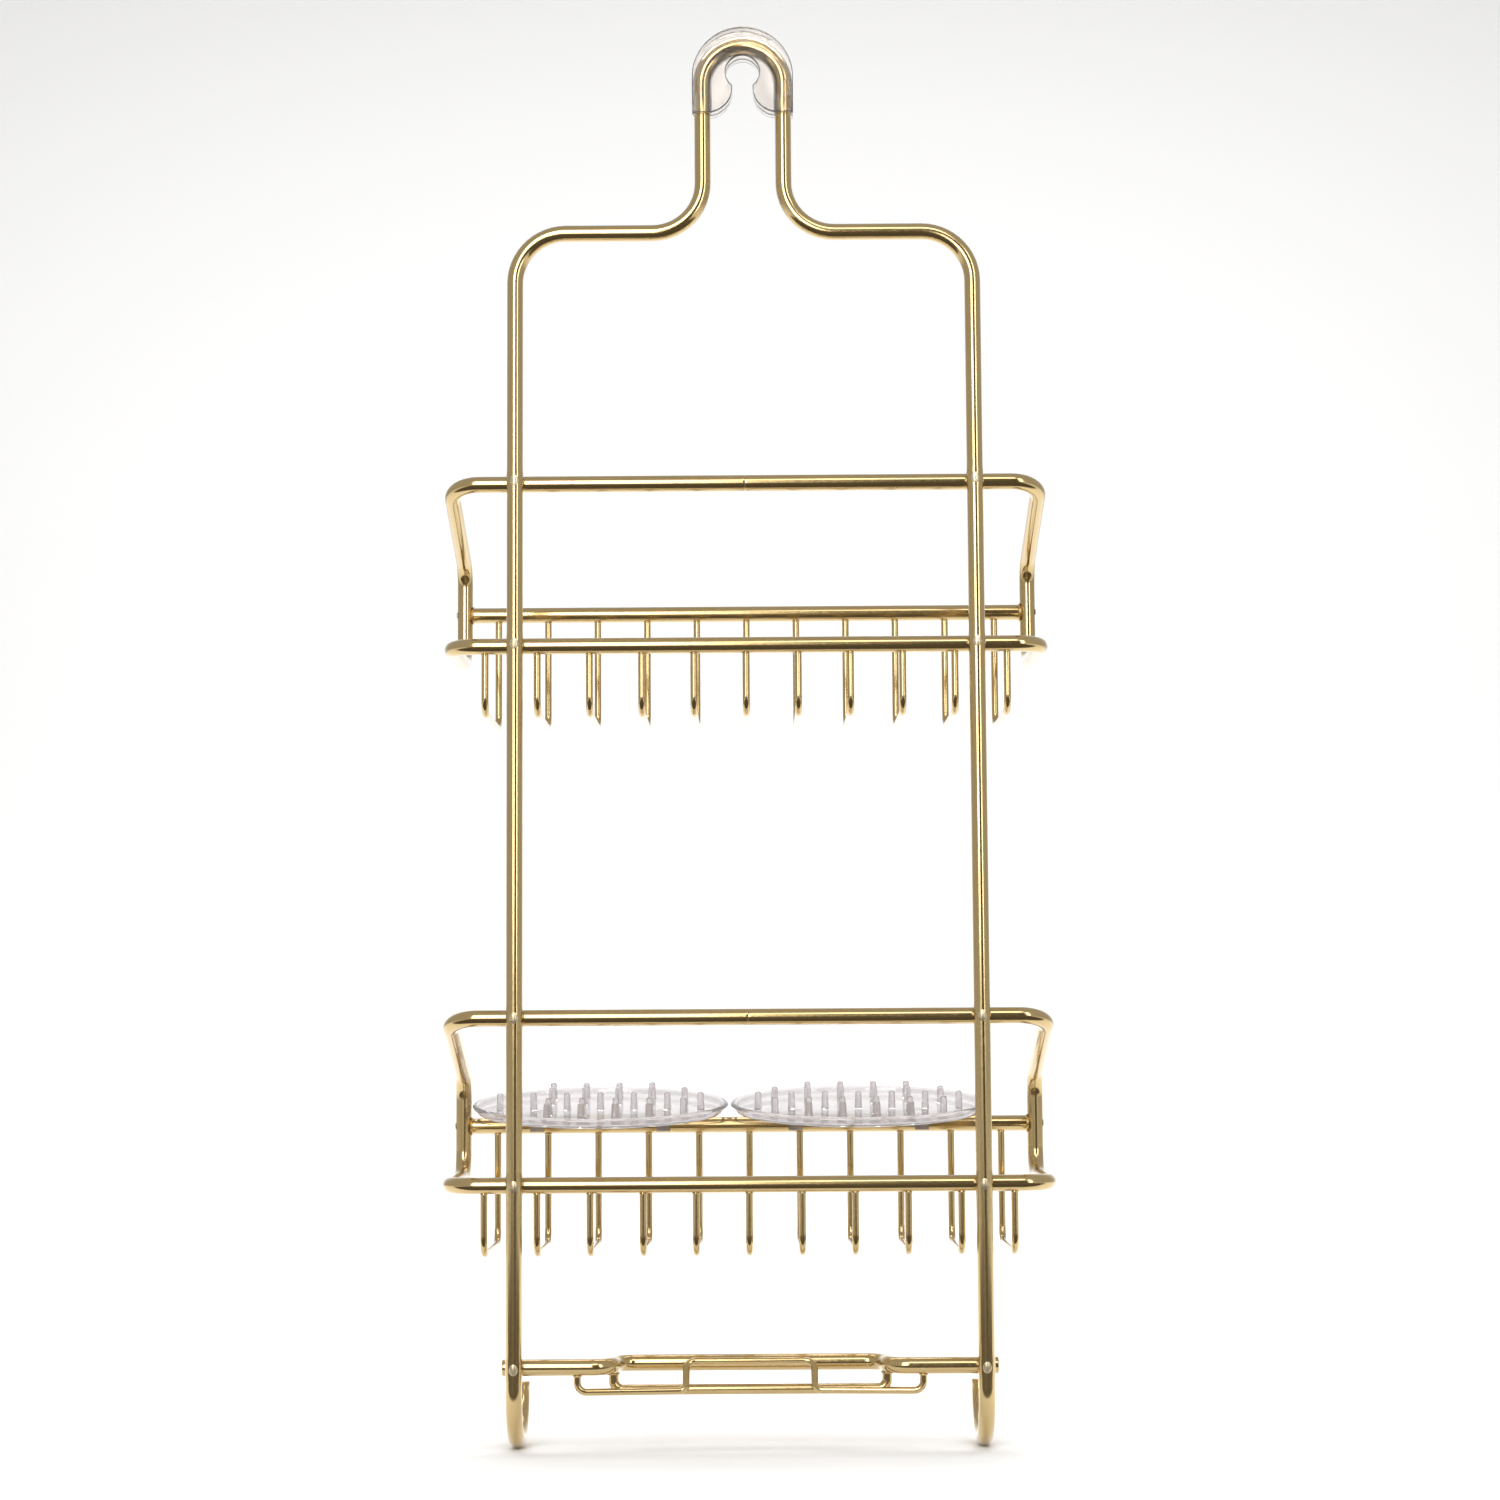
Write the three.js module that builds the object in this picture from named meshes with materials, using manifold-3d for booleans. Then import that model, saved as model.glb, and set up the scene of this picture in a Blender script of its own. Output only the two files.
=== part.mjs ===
// Hanging shower caddy, bent from round rod. One long rod makes the arch that hooks over a shower arm,
// the shoulders, the two uprights and a towel hook at each foot. Two baskets, each a bent ring of the
// same rod with a cross rail and a row of U-shaped tines, are riveted behind the uprights. A set-back
// towel bar with a lower rod and a razor wire joins the uprights near their feet. A clear two-part
// cover grips the shower arm, and two clear soap dishes clip over the lower basket's front rail.
//
// Millimetres. +Z is up, +X is to the right seen from the wall, and +Y points from the wall into the
// room. The origin is the middle of the seat that holds the shower arm.
import * as THREE from 'three';
import { mergeVertices } from 'three/addons/utils/BufferGeometryUtils.js';
import Module from 'manifold-3d';

const wasm = await Module();
wasm.setup();

// Stock and fits
const rodDiameter = 8;
const tineDiameter = 3.5;
const gap = 0.3;

// Hanger frame
const archRadius = 20;
const archDrop = 5.3;
const shoulderDrop = 79.9;
const shoulderBend = 25;
const uprightSpacing = 225.6;
const hookRadius = 25;
const hookDrop = 11.1;

// Baskets
const firstRailDrop = 203.9;
const shelfPitch = 262.2;
const railSpacing = 80.5;
const shelfOverhang = 32.7;
const shelfDepth = 79;
const shelfBend = 14;
const sideRise = 50;
const frontRailRise = 26.5;
const tineCount = 11;
const tineMargin = 17.5;
const tineDrop = 33;
const tineBend = 8;

// Towel bar, lower rod and razor wire
const barDrop = 633.1;
const barOverhang = 6.2;
const barSetBack = 20;
const barJogInset = 46.8;
const lowerRodDiameter = 5;
const lowerRodDrop = 11.8;
const wireEndInset = 29.8;
const wireRiserSpacing = 62;
const wireRestAngle = 12;
const smallBend = 4.5;

// Rivets
const rivetHeadDiameter = 5.2;
const rivetDomeDiameter = 3.6;
const rivetDomeHeight = 0.6;
const rivetShankDiameter = 2.4;
const rivetGrip = 1;

// Clear cover on the arch
const seatRadius = 8.4;
const lipAngle = 53;
const coverSideWall = 1;
const coverTopWall = 4.1;
const coverDepth = 12;
const coverLeg = 15.1;
const hornReach = 17.6;
const hornNose = 6.5;

// Soap dishes
const dishWidth = 86;
const dishHeight = 6;
const dishFloor = 2.2;
const dishTilt = 10;
const dishEndGap = 0.8;
const dishGap = 1.2;
const dishSpare = 21;
const clipWall = 1.8;
const clipWidth = 7;
const clipSpacing = 64;
const clipOpening = 58;
const pinHeight = 9;
const pinDiameter = 4;
const pinPitch = 17;
const pinRowPitch = 13.5;
const pinMargin = 9;

// Places worked out from the sizes above
const rodRadius = rodDiameter / 2;
const tineRadius = tineDiameter / 2;
const rodSides = 10;
const wireSides = 6;
const flatHalf = rodRadius * Math.cos(Math.PI / rodSides);
const nearY = rodRadius + flatHalf + gap;
const farY = nearY + shelfDepth;
const uprightX = uprightSpacing / 2;
const sideX = uprightX + shelfOverhang;
const shelves = ['upper', 'lower'].map((name, index) => {
  const top = -firstRailDrop - index * shelfPitch;
  const bottom = top - railSpacing;
  return { name, top, bottom, front: bottom + frontRailRise };
});
const sides = [['left', -1], ['right', 1]];

const gold = { color: 0xb5954f, roughness: 0.32, metalness: 1 };
const clear = { color: 0xe9eef0, roughness: 0.08, metalness: 0, transparent: true, opacity: 0.45 };

// A rod's centre line: straight runs joined by round bends. The section is set only where it is
// needed, at both ends and at even steps round each bend.
class RodPath extends THREE.Curve {
  constructor(corners, stepsPerQuarter) {
    super();
    const points = corners.map(([x, y, z]) => new THREE.Vector3(x, y, z));
    this.stations = [];
    this.addStation(points[0], points[1].clone().sub(points[0]).normalize());
    for (let i = 1; i < points.length - 1; i += 1) {
      this.addBend(points[i - 1], points[i], points[i + 1], corners[i][3], stepsPerQuarter);
    }
    const last = points.length - 1;
    this.addStation(points[last], points[last].clone().sub(points[last - 1]).normalize());
  }

  addStation(point, tangent) {
    const before = this.stations.at(-1);
    if (!before || before.point.distanceTo(point) > 0.01) {
      this.stations.push({ point, tangent });
    }
  }

  addBend(before, corner, after, radius, stepsPerQuarter) {
    const into = corner.clone().sub(before).normalize();
    const out = after.clone().sub(corner).normalize();
    const turn = into.angleTo(out);
    const setback = radius * Math.tan(turn / 2);
    const start = corner.clone().addScaledVector(into, -setback);
    const inward = out.clone().addScaledVector(into, -out.dot(into)).normalize();
    const centre = start.clone().addScaledVector(inward, radius);
    const steps = Math.max(2, Math.round((turn / (Math.PI / 2)) * stepsPerQuarter));
    for (let i = 0; i <= steps; i += 1) {
      const angle = (turn * i) / steps;
      const tangent = into.clone().multiplyScalar(Math.cos(angle)).addScaledVector(inward, Math.sin(angle));
      const point = centre.clone().addScaledVector(inward, -radius * Math.cos(angle));
      point.addScaledVector(into, radius * Math.sin(angle));
      this.addStation(point, tangent);
    }
  }

  get steps() {
    return this.stations.length - 1;
  }

  stationAt(t) {
    return this.stations[Math.round(t * this.steps)];
  }

  getPoint(t, target = new THREE.Vector3()) {
    return target.copy(this.stationAt(t).point);
  }

  getTangent(t, target = new THREE.Vector3()) {
    return target.copy(this.stationAt(t).tangent);
  }

  getPointAt(t, target) {
    return this.getPoint(t, target);
  }

  getTangentAt(t, target) {
    return this.getTangent(t, target);
  }
}

function roundSection(diameter, sideCount) {
  const shape = new THREE.Shape();
  const corners = [];
  for (let i = 0; i < sideCount; i += 1) {
    const angle = ((i + 0.5) * 2 * Math.PI) / sideCount;
    corners.push(new THREE.Vector2(Math.cos(angle), Math.sin(angle)).multiplyScalar(diameter / 2));
  }
  return shape.setFromPoints(corners);
}

// corners are [x, y, z, bend radius]; the two ends need no radius
function bentRod(corners, diameter = rodDiameter, sideCount = rodSides, stepsPerQuarter = 5) {
  const path = new RodPath(corners, stepsPerQuarter);
  const options = { steps: path.steps, extrudePath: path, bevelEnabled: false };
  return new THREE.ExtrudeGeometry(roundSection(diameter, sideCount), options);
}

function solidOf(geometry) {
  const bare = geometry.clone();
  bare.deleteAttribute('normal');
  bare.deleteAttribute('uv');
  const merged = mergeVertices(bare, 1e-4);
  const vertProperties = new Float32Array(merged.attributes.position.array);
  const triVerts = new Uint32Array(merged.index.array);
  return new wasm.Manifold(new wasm.Mesh({ numProp: 3, vertProperties, triVerts }));
}

function geometryOf(solid) {
  const mesh = solid.getMesh();
  const geometry = new THREE.BufferGeometry();
  geometry.setAttribute('position', new THREE.BufferAttribute(mesh.vertProperties, 3));
  geometry.setIndex(new THREE.BufferAttribute(mesh.triVerts, 1));
  geometry.computeVertexNormals();
  return geometry;
}

// A round drill of a rivet's hole, from start to end along one axis
function drill(start, end) {
  const from = new THREE.Vector3(...start);
  const along = new THREE.Vector3(...end).sub(from);
  const radius = rivetShankDiameter / 2 + gap;
  const bit = new THREE.CylinderGeometry(radius, radius, along.length(), 8);
  bit.translate(0, along.length() / 2, 0);
  const turn = new THREE.Quaternion().setFromUnitVectors(new THREE.Vector3(0, 1, 0), along.normalize());
  bit.applyQuaternion(turn);
  bit.translate(from.x, from.y, from.z);
  return solidOf(bit);
}

// A rivet with a 45 degree countersunk head, turned about its axis, or with a clearance the hole it
// sits in. Heights count from the axis of the rod whose skin the head meets.
function countersunk(reach, clearance) {
  const shank = rivetShankDiameter / 2 + clearance;
  const head = rivetHeadDiameter / 2 + clearance * Math.SQRT2;
  const outline = [[0, -reach], [shank, -reach], [shank, rodRadius - head + shank]];
  outline.push([head + 1, rodRadius + 1], [0, rodRadius + 1]);
  return new THREE.LatheGeometry(outline.map(([r, y]) => new THREE.Vector2(r, y)), 8);
}

function drilled(geometry, holes) {
  return geometryOf(holes.reduce((solid, hole) => solid.subtract(hole), solidOf(geometry)));
}

const group = new THREE.Group();

function addPiece(name, geometry, finish) {
  const mesh = new THREE.Mesh(geometry, new THREE.MeshStandardMaterial(finish));
  mesh.name = name;
  group.add(mesh);
  return mesh;
}

// Rivet heights on each upright: the rails of both baskets, and the towel bar
const railHeights = shelves.flatMap(({ name, top, bottom }) => [[`${name}_top`, top], [`${name}_bottom`, bottom]]);
const rivetRows = [...railHeights, ['towel_bar', -barDrop]];
const rivetReach = nearY + rivetGrip;

// ---- Hanger frame: hook, upright, shoulder, neck, arch and back down the other side

function hangerFrame() {
  const hookTop = -barDrop - hookDrop;
  const hookBottom = hookTop - hookRadius;
  const archTop = archRadius - archDrop;
  const half = (side) => [
    [side * uprightX, 2 * hookRadius, hookTop],
    [side * uprightX, 2 * hookRadius, hookBottom, hookRadius],
    [side * uprightX, 0, hookBottom, hookRadius],
    [side * uprightX, 0, -shoulderDrop, shoulderBend],
    [side * archRadius, 0, -shoulderDrop, shoulderBend],
    [side * archRadius, 0, archTop, archRadius],
  ];
  const frame = bentRod([...half(-1), ...half(1).reverse()]);
  const holes = rivetRows.flatMap(([, z]) => sides.map(([, side]) => {
    const hole = countersunk(rodDiameter, gap).rotateX(Math.PI);
    return solidOf(hole.translate(side * uprightX, 0, z));
  }));
  return drilled(frame, holes);
}

addPiece('hanger_frame', hangerFrame(), gold);

// ---- Baskets: a bent ring, a front rail between its sides, and the tines below

// The ring's two ends meet at a butt joint in the middle of its top rail.
function basketLoop({ top, bottom }) {
  const sideCorners = (side) => [
    [side * gap / 2, nearY, top],
    [side * sideX, nearY, top, shelfBend],
    [side * sideX, farY, bottom + sideRise, shelfBend],
    [side * sideX, farY, bottom, shelfBend],
    [side * sideX, nearY, bottom, shelfBend],
  ];
  return bentRod([...sideCorners(-1), ...sideCorners(1).reverse()]);
}

function drilledLoop(shelf) {
  const holes = sides.flatMap(([, side]) => [
    ...[shelf.top, shelf.bottom].map((z) => drill([side * uprightX, 0, z], [side * uprightX, rivetReach, z])),
    drill([side * (sideX - rodDiameter), farY, shelf.front], [side * (sideX + rodDiameter), farY, shelf.front]),
  ]);
  return drilled(basketLoop(shelf), holes);
}

const railEnd = sideX - rodRadius - gap;

function frontRail({ front }) {
  const rail = bentRod([[-railEnd, farY, front], [railEnd, farY, front]]);
  const holes = sides.map(([, side]) => drill(
    [side * (railEnd + 1), farY, front],
    [side * (railEnd - rodDiameter), farY, front],
  ));
  return drilled(rail, holes);
}

// A tine is welded under the bottom rail, drops to the floor, crosses it and rises to the front rail.
function tine(x, { bottom, front }) {
  const floor = bottom - tineDrop;
  const weldGap = rodRadius + gap;
  return bentRod([
    [x, nearY, bottom - weldGap],
    [x, nearY, floor, tineBend],
    [x, farY, floor, tineBend],
    [x, farY, front - weldGap],
  ], tineDiameter, wireSides, 3);
}

const tinePitch = (2 * (sideX - tineMargin)) / (tineCount - 1);

for (const shelf of shelves) {
  addPiece(`${shelf.name}_basket_loop`, drilledLoop(shelf), gold);
  addPiece(`${shelf.name}_front_rail`, frontRail(shelf), gold);
  for (let i = 0; i < tineCount; i += 1) {
    const x = (i - (tineCount - 1) / 2) * tinePitch;
    addPiece(`${shelf.name}_tine_${String(i + 1).padStart(2, '0')}`, tine(x, shelf), gold);
  }
}

// ---- Towel bar, lower rod and razor wire

const barEnd = uprightX + barOverhang;
const jogX = uprightX - barJogInset;
const backY = nearY + barSetBack;
const jogBend = barSetBack / 2;

function towelBar() {
  const half = (side) => [
    [side * barEnd, nearY, -barDrop],
    [side * jogX, nearY, -barDrop, jogBend],
    [side * jogX, backY, -barDrop, jogBend],
  ];
  const bar = bentRod([...half(-1), ...half(1).reverse()]);
  const holes = sides.map(([, side]) => drill([side * uprightX, 0, -barDrop], [side * uprightX, rivetReach, -barDrop]));
  return drilled(bar, holes);
}

const lowerRodY = nearY + jogBend;
const lowerZ = -barDrop - lowerRodDrop;

function lowerRod() {
  const half = (side) => [
    [side * jogX, lowerRodY, -barDrop - rodRadius - gap],
    [side * jogX, lowerRodY, lowerZ, smallBend],
  ];
  return bentRod([...half(-1), ...half(1).reverse()], lowerRodDiameter, 8, 4);
}

// The wire hangs from the bar's near ends, passes before the lower rod, and rises at the middle to
// rest on the front of the set-back bar.
function razorWire() {
  const restReach = rodRadius + tineRadius + gap;
  const restAngle = THREE.MathUtils.degToRad(wireRestAngle);
  const restY = backY - restReach * Math.cos(restAngle);
  const restZ = -barDrop + restReach * Math.sin(restAngle);
  const passY = lowerRodY - (lowerRodDiameter / 2 + tineRadius) / Math.cos(Math.PI / 4);
  const endX = uprightX - wireEndInset;
  const riserX = wireRiserSpacing / 2;
  const half = (side) => [
    [side * endX, nearY, -barDrop - rodRadius - gap],
    [side * endX, nearY, lowerZ, smallBend],
    [side * riserX, passY, lowerZ, smallBend],
    [side * riserX, restY, restZ, smallBend],
  ];
  return bentRod([...half(-1), ...half(1).reverse()], tineDiameter, wireSides, 3);
}

addPiece('towel_bar', towelBar(), gold);
addPiece('lower_rod', lowerRod(), gold);
addPiece('razor_wire', razorWire(), gold);

// ---- Rivets, each turned about its own axis, with its head at the top of that axis. The ones through
// the uprights have countersunk heads, ground flush with the rod's skin, and their shanks end in a
// blind hole. The ones at the front rails have a low domed head, whose underside is at zero.

function flushRivet() {
  const solid = solidOf(countersunk(rivetReach - gap, 0));
  const skin = new THREE.CylinderGeometry(rodRadius, rodRadius, 3 * rodDiameter, rodSides);
  const outside = new THREE.BoxGeometry(2 * rodDiameter, rodDiameter, 2 * rodDiameter);
  outside.translate(0, rodDiameter / 2, 0);
  const shaving = solidOf(outside).subtract(solidOf(skin.rotateX(Math.PI / 2).rotateZ(Math.PI / 2)));
  return geometryOf(solid.subtract(shaving));
}

function domedRivet(shankLength) {
  const head = rivetDomeDiameter / 2;
  const shank = rivetShankDiameter / 2;
  const outline = [[0, -shankLength], [shank, -shankLength], [shank, 0], [head, 0]];
  outline.push([head * 0.8, rivetDomeHeight * 0.7], [0, rivetDomeHeight]);
  return new THREE.LatheGeometry(outline.map(([r, y]) => new THREE.Vector2(r, y)), 8);
}

for (const [side, sign] of sides) {
  for (const [name, z] of rivetRows) {
    const piece = addPiece(`rivet_${name}_${side}`, flushRivet(), gold);
    piece.position.set(sign * uprightX, 0, z);
    piece.rotation.x = Math.PI;
  }
  for (const shelf of shelves) {
    const piece = addPiece(`rivet_${shelf.name}_front_${side}`, domedRivet(3 * rodRadius + gap), gold);
    piece.position.set(sign * (sideX + rodRadius + gap), farY, shelf.front);
    piece.rotation.z = -sign * Math.PI / 2;
  }
}

// ---- Clear cover: two half shells that close over the arch, with a seat that grips the shower arm

const archTopZ = archRadius - archDrop;
const coverRadius = archRadius + rodRadius + coverSideWall;
const coverZ = archTopZ + rodRadius + coverTopWall - coverRadius;
const coverBottom = -archDrop - coverLeg;

function coverOutline() {
  const lip = THREE.MathUtils.degToRad(lipAngle);
  const lipX = seatRadius * Math.cos(lip);
  const lipZ = -seatRadius * Math.sin(lip);
  const outline = new THREE.Shape();
  outline.moveTo(coverRadius, coverBottom);
  outline.lineTo(coverRadius, coverZ);
  outline.absarc(0, coverZ, coverRadius, 0, Math.PI, false);
  outline.lineTo(-coverRadius, coverBottom);
  outline.lineTo(-hornReach, coverBottom);
  outline.quadraticCurveTo(-hornNose, coverBottom, -lipX, lipZ);
  outline.absarc(0, 0, seatRadius, Math.PI + lip, -lip, true);
  outline.quadraticCurveTo(hornNose, coverBottom, hornReach, coverBottom);
  outline.closePath();
  return outline;
}

function coverHalf(sign) {
  const half = coverDepth / 2 - gap / 2;
  const shell = new THREE.ExtrudeGeometry(coverOutline(), { depth: half, bevelEnabled: false, curveSegments: 8 });
  shell.rotateX(Math.PI / 2);
  shell.translate(0, sign > 0 ? coverDepth / 2 : -gap / 2, 0);
  const legEnd = coverBottom - rodDiameter;
  const channel = bentRod([
    [-archRadius, 0, legEnd],
    [-archRadius, 0, archTopZ, archRadius],
    [archRadius, 0, archTopZ, archRadius],
    [archRadius, 0, legEnd],
  ], rodDiameter + 2 * gap);
  return geometryOf(solidOf(shell).subtract(solidOf(channel)));
}

addPiece('hook_cover_wall_half', coverHalf(-1), clear);
addPiece('hook_cover_room_half', coverHalf(1), clear);

// ---- Soap dishes: an oval tray with standing pins, and two C clips under it that close round the
// front rail. A dish is built level with its clips centred on the rail, then tilted about the rail.

const dishLength = (2 * (sideX - rodRadius) - dishEndGap - dishGap - dishSpare) / 2;
const dishStretch = dishLength / dishWidth;
const floorUnder = rodRadius + gap + clipWall - 0.3;

function dishTray() {
  const rim = dishWidth / 2;
  const floorTop = floorUnder + dishFloor;
  const top = floorUnder + dishHeight;
  const outline = [[0, floorUnder], [rim - 8, floorUnder], [rim - 2.2, floorUnder + 3], [rim, top - 1.6]];
  outline.push([rim - 0.9, top], [rim - 2.6, top - 0.5], [rim - 4.6, floorTop + 1.8], [rim - 8.5, floorTop]);
  outline.push([0, floorTop]);
  const tray = new THREE.LatheGeometry(outline.map(([r, y]) => new THREE.Vector2(r, y)), 28);
  tray.rotateX(Math.PI / 2);
  tray.scale(dishStretch, 1, 1);
  return solidOf(tray);
}

function dishClip(x) {
  const inner = rodRadius + gap + 0.1;
  const outer = inner + clipWall;
  const from = THREE.MathUtils.degToRad(clipOpening - 90);
  const to = Math.PI - from;
  const outline = new THREE.Shape();
  outline.absarc(0, 0, outer, from, to, false);
  outline.absarc(0, 0, inner, to, from, true);
  outline.closePath();
  const clip = new THREE.ExtrudeGeometry(outline, { depth: clipWidth, bevelEnabled: false, curveSegments: 6 });
  const along = new THREE.Matrix4().makeBasis(
    new THREE.Vector3(0, 1, 0),
    new THREE.Vector3(0, 0, 1),
    new THREE.Vector3(1, 0, 0),
  );
  clip.applyMatrix4(along);
  clip.translate(x - clipWidth / 2, 0, 0);
  return solidOf(clip);
}

function dishPins() {
  const halfLength = dishLength / 2 - pinMargin * dishStretch;
  const halfWidth = dishWidth / 2 - pinMargin;
  const rows = Math.floor((2 * halfWidth) / pinRowPitch);
  const pins = [];
  for (let row = 0; row < rows; row += 1) {
    const y = (row - (rows - 1) / 2) * pinRowPitch;
    const chord = 2 * halfLength * Math.sqrt(1 - (y / halfWidth) ** 2);
    const count = Math.floor(chord / pinPitch) + 1;
    for (let i = 0; i < count; i += 1) {
      const sunk = dishFloor / 2;
      const pin = new THREE.CylinderGeometry(pinDiameter * 0.35, pinDiameter / 2, pinHeight + sunk, 6);
      pin.rotateX(Math.PI / 2);
      const z = floorUnder + dishFloor + (pinHeight - sunk) / 2;
      pin.translate((i - (count - 1) / 2) * pinPitch, y, z);
      pins.push(solidOf(pin));
    }
  }
  return pins;
}

function soapDish() {
  const clips = sides.map(([, side]) => dishClip((side * clipSpacing) / 2));
  return geometryOf([...clips, ...dishPins()].reduce((dish, piece) => dish.add(piece), dishTray()));
}

const leftDishX = -(sideX - rodRadius) + dishEndGap + dishLength / 2;
const dishPlaces = [['left', leftDishX], ['right', leftDishX + dishLength + dishGap]];

for (const [name, x] of dishPlaces) {
  const dish = addPiece(`${name}_soap_dish`, soapDish(), clear);
  dish.position.set(x, farY, shelves[1].front);
  dish.rotation.x = THREE.MathUtils.degToRad(dishTilt);
}

export default group;
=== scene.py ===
import math

import bpy
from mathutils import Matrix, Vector


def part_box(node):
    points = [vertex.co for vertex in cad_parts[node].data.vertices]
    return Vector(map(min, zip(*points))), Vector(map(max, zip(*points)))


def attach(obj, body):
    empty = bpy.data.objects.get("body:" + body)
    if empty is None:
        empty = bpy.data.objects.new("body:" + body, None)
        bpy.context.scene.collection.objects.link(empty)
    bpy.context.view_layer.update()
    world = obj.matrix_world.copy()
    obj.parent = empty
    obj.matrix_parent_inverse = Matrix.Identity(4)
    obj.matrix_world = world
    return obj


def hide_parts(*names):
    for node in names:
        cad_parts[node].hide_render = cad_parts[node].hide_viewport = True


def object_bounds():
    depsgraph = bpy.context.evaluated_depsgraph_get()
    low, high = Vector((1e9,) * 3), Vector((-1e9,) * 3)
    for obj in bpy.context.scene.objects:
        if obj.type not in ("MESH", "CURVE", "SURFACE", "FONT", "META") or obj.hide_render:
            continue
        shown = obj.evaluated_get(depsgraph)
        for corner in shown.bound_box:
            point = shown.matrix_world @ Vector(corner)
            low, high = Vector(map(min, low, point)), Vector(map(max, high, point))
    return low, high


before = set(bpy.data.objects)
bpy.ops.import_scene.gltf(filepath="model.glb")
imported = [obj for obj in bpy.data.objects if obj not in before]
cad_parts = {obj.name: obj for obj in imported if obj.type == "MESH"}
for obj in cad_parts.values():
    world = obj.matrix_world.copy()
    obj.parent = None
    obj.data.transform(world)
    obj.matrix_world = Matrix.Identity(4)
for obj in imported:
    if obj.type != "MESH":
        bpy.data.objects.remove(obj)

cad_low, cad_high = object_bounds()

# ---- View and studio
# The caddy is seen from its wall side, from the height of the lower basket, with the view tilted up. It
# stands on a white sweep. Two tall soft boxes beside the camera draw two bright lines down a round rod,
# with the dark of the camera between them, and the floor before the caddy is dark.
mm = 0.001
view_distance = 1466.7 * mm
view_height = -478.3 * mm
view_across = 5.57 * mm
view_tilt = math.radians(5.506)
view_roll = math.radians(0.356)
view_turn = math.radians(0.185)

bpy.ops.object.select_all(action="DESELECT")
bpy.ops.object.camera_add(
    location=(view_across, -view_distance, view_height),
    rotation=(math.radians(90) + view_tilt, view_roll, view_turn),
)
camera = bpy.context.object
camera.data.lens = 72.72
camera.data.sensor_width = 36
camera.data.clip_start = 0.05
camera.data.clip_end = 30
bpy.context.scene.camera = camera
bpy.context.scene.view_settings.view_transform = "Standard"


def hex_colour(code):
    """An sRGB hex colour as linear red, green, blue and alpha."""
    channels = [int(code[i:i + 2], 16) / 255 for i in (1, 3, 5)]
    return [c / 12.92 if c <= 0.04045 else ((c + 0.055) / 1.055) ** 2.4 for c in channels] + [1.0]


def add_node(material, kind, inputs, **settings):
    """Adds a node, sets its settings, and gives each input a value or a link."""
    node = material.node_tree.nodes.new(kind)
    for name, value in settings.items():
        setattr(node, name, value)
    for name, value in inputs.items():
        if isinstance(value, bpy.types.NodeSocket):
            material.node_tree.links.new(value, node.inputs[name])
        else:
            node.inputs[name].default_value = value
    return node


def new_material(name):
    """A named material with its surface node, ready to be given a finish."""
    material = bpy.data.materials.new(name)
    material.use_nodes = True
    return material, material.node_tree.nodes["Principled BSDF"]


# The sweep is matt painted board, a floor that curves up into a back wall.
sweep_paint, surface = new_material("matt_white_board")
surface.inputs["Base Color"].default_value = hex_colour("#f6f6f6")
surface.inputs["Roughness"].default_value = 0.9
surface.inputs["Specular IOR Level"].default_value = 0.1

floor_size = 9
floor_middle_y = -0.5
wall_height = 4
bpy.ops.mesh.primitive_plane_add(size=floor_size, location=(0, floor_middle_y, cad_low.z))
sweep = bpy.context.object
sweep.name = "sweep"
bpy.ops.object.mode_set(mode="EDIT")
bpy.ops.mesh.select_all(action="DESELECT")
bpy.ops.object.mode_set(mode="OBJECT")
for edge in sweep.data.edges:
    edge.select = all(sweep.data.vertices[i].co.y > 1 for i in edge.vertices)
bpy.ops.object.mode_set(mode="EDIT")
bpy.ops.mesh.select_mode(type="EDGE")
bpy.ops.mesh.extrude_region_move(TRANSFORM_OT_translate={"value": (0, 0, wall_height)})
bpy.ops.object.mode_set(mode="OBJECT")
curve_up = sweep.modifiers.new("curve_up", "BEVEL")
curve_up.width = 1.2
curve_up.segments = 16
bpy.ops.object.modifier_apply(modifier="curve_up")
bpy.ops.object.shade_smooth()
sweep.data.materials.append(sweep_paint)

# Dark warm grey cards, out of the picture, are what the metal mirrors between and below the soft boxes.
card_paint, surface = new_material("black_card")
surface.inputs["Base Color"].default_value = hex_colour("#4a443c")
surface.inputs["Roughness"].default_value = 0.9


def black_card(name, place, turn, width, length):
    """A card that only the object's reflections see."""
    bpy.ops.mesh.primitive_plane_add(size=1, location=place, rotation=(turn, 0, 0))
    card = bpy.context.object
    card.name = name
    card.scale = (width, length, 1)
    card.data.materials.append(card_paint)
    card.visible_camera = False
    card.visible_shadow = False
    card.visible_diffuse = False


# One card stands just behind the plane of the soft boxes and fills the gap between the two tall ones. The
# other lies on the floor, from below the camera nearly to the caddy's foot.
box_plane = -2.0
camera_card_middle = (0.57, box_plane - 0.05, 0.15)
table_card_middle = (0, -1.08, cad_low.z + 5 * mm)
black_card("camera_card", camera_card_middle, turn=math.radians(90), width=1.1, length=1.6)
black_card("table_card", table_card_middle, turn=0, width=2.2, length=2.04)


def soft_box(place, aim, width, height, radiance):
    """A rectangular studio light of even brightness that points at aim."""
    direction = Vector(aim) - Vector(place)
    facing = direction.to_track_quat("-Z", "Y").to_euler()
    bpy.ops.object.light_add(type="AREA", location=place, rotation=facing)
    light = bpy.context.object
    light.data.shape = "RECTANGLE"
    light.data.size = width
    light.data.size_y = height
    light.data.energy = radiance * math.pi * width * height
    return light


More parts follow.
